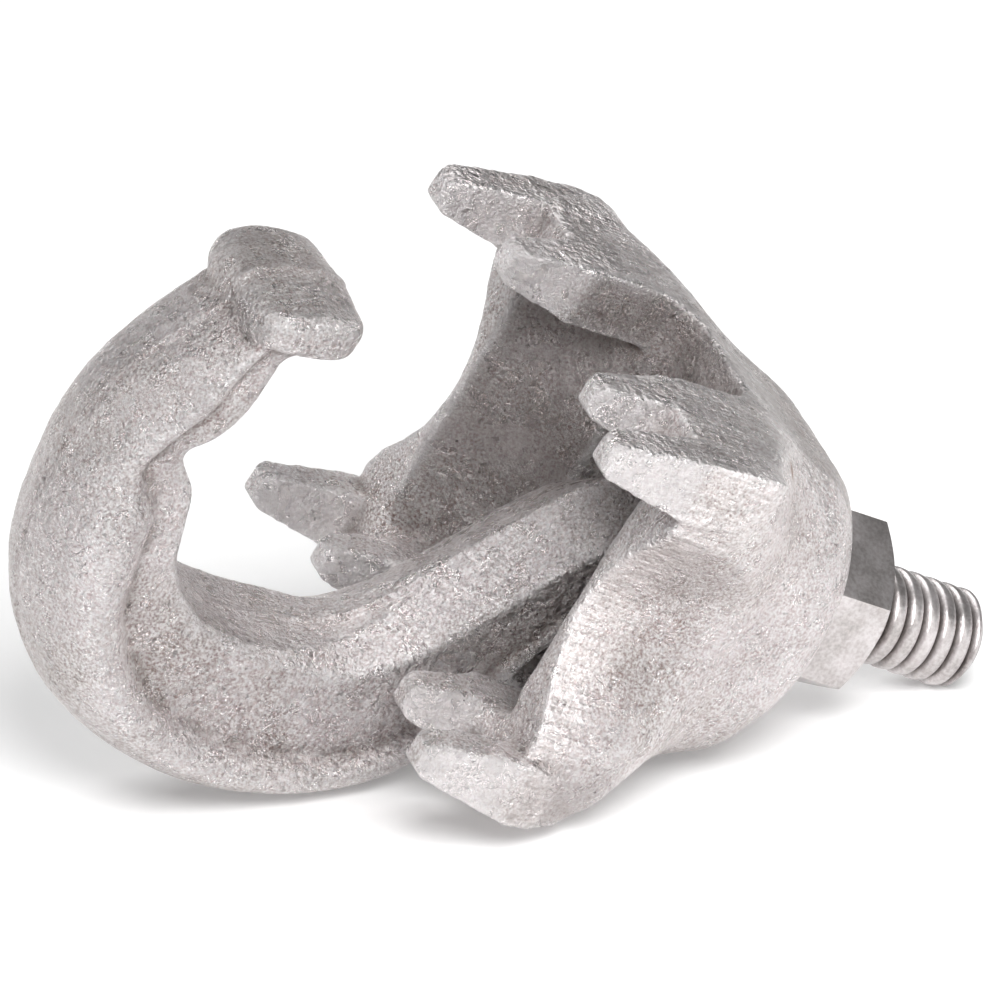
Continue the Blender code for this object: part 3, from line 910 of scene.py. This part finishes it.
def plated(name):
    """Smoother zinc on machined steel: faint patches, fine grain, shallow dents, painted shade in the
    thread roots and the nut's bore.
    """
    nodes = Nodes(name)
    nodes.follow_clamp()
    patches = nodes.noise(160.0, 3.0)
    fine = nodes.noise(1500.0, 3.0, 0.6)
    color = nodes.ramp(patches, PLATED_PATCHES)
    color = nodes.mix(0.22, color, nodes.ramp(fine, [(0.34, 0.1), (0.62, 0.86)]), "OVERLAY")
    # Painted shade in the thread roots and the nut's bore.
    color = nodes.mix(nodes.share(nodes.attribute("groove"), 0.75), color, GROOVE_SHADE_COLOR)
    nodes.link(color, nodes.shader.inputs["Base Color"])
    nodes.shader.inputs["Metallic"].default_value = 0.9
    rough = nodes.ramp(patches, [(0.3, 0.30), (0.7, 0.44)])
    nodes.link(rough, nodes.shader.inputs["Roughness"])
    grain = nodes.bump(fine, 0.25, 0.0003)
    dents = nodes.bump(nodes.noise(420.0, 2.0), 0.1, 0.0004, grain)
    nodes.link(dents, nodes.shader.inputs["Normal"])
    return nodes.material


def floor_finish():
    """A white studio floor with a faint glow, stronger further out, so that it stays pale to its edge."""
    nodes = Nodes("floor_paper")
    tone = nodes.ramp(nodes.noise(6.0, 2.0), [(0.3, 0.86), (0.7, 0.90)])
    nodes.link(tone, nodes.shader.inputs["Base Color"])
    nodes.shader.inputs["Roughness"].default_value = 0.9
    nodes.shader.inputs["Emission Color"].default_value = (1.0, 1.0, 1.0, 1.0)
    length = nodes.tree.nodes.new("ShaderNodeVectorMath")
    length.operation = "LENGTH"
    nodes.link(nodes.place, length.inputs[0])
    reach = nodes.math("MULTIPLY", length.outputs["Value"], FLOOR_REACH_SCALE)
    glow = nodes.ramp(reach, FLOOR_GLOW)
    nodes.link(glow, nodes.shader.inputs["Emission Strength"])
    return nodes.material


# ---------------------------------------------------------------- putting it together
def place(piece, finish, body, node, slot):
    """Turns a piece into the frame's axes, gives it its finish, hangs it on its body and hides the part of
    model.glb that it replaces.
    """
    piece.data.materials.clear()
    piece.data.materials.append(finish)
    piece.data.transform(AXES)
    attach(piece, body)
    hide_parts(node)


def add_floor():
    bpy.ops.mesh.primitive_plane_add(size=FLOOR_SIZE, location=(0.0, 0.0, 0.0))
    floor = bpy.context.object
    floor.name = "floor"
    floor.data.materials.append(floor_finish())


def add_camera():
    """Adds the camera at the photo's angle, and returns the point it aims at."""
    turn = AXES.to_3x3()
    back = (turn @ CAMERA_BACK).normalized()
    right = turn @ CAMERA_RIGHT
    right = (right - back * right.dot(back)).normalized()
    up = back.cross(right)
    target = AXES.translation + (right * AIM_RIGHT - up * AIM_DOWN) * MM
    camera = bpy.data.objects.new("camera", bpy.data.cameras.new("camera"))
    bpy.context.scene.collection.objects.link(camera)
    view = Matrix((right, up, back)).transposed().to_4x4()
    view.translation = target + back * CAMERA_DISTANCE
    camera.matrix_world = view
    camera.data.sensor_width = SENSOR_WIDTH
    camera.data.lens = SENSOR_WIDTH * CAMERA_DISTANCE / (VIEW_WIDTH * MM)
    camera.data.clip_start = 0.01
    bpy.context.scene.camera = camera
    return target


def add_light(name, direction, distance, size, power, target):
    light = bpy.data.lights.new(name, "AREA")
    light.shape = "DISK"
    light.size = size
    light.energy = power
    lamp = bpy.data.objects.new(name, light)
    bpy.context.scene.collection.objects.link(lamp)
    direction = Vector(direction).normalized()
    lamp.location = target + direction * distance
    lamp.rotation_euler = direction.to_track_quat("Z", "Y").to_euler()


def main():
    cast = galvanised("galvanised_cast")
    bright = plated("plated_steel")
    place(make_hook(), cast, "hook_bolt", "hook_bolt", "cast_hook")
    place(make_stud(), bright, "hook_bolt", "hook_bolt", "cast_hook")
    place(make_saddle(), cast, "saddle", "saddle", "cast_saddle")
    place(make_nut(), bright, "nut", "hex_nut", "plated_nut")
    add_floor()
    target = add_camera()
    for light in LIGHTS:
        add_light(*light, target)
    world = bpy.data.worlds.new("studio")
    bpy.context.scene.world = world
    world.use_nodes = True
    world.node_tree.nodes["Background"].inputs["Color"].default_value = STUDIO_COLOR
    bpy.context.scene.view_settings.view_transform = "Standard"


main()
bpy.context.view_layer.update()
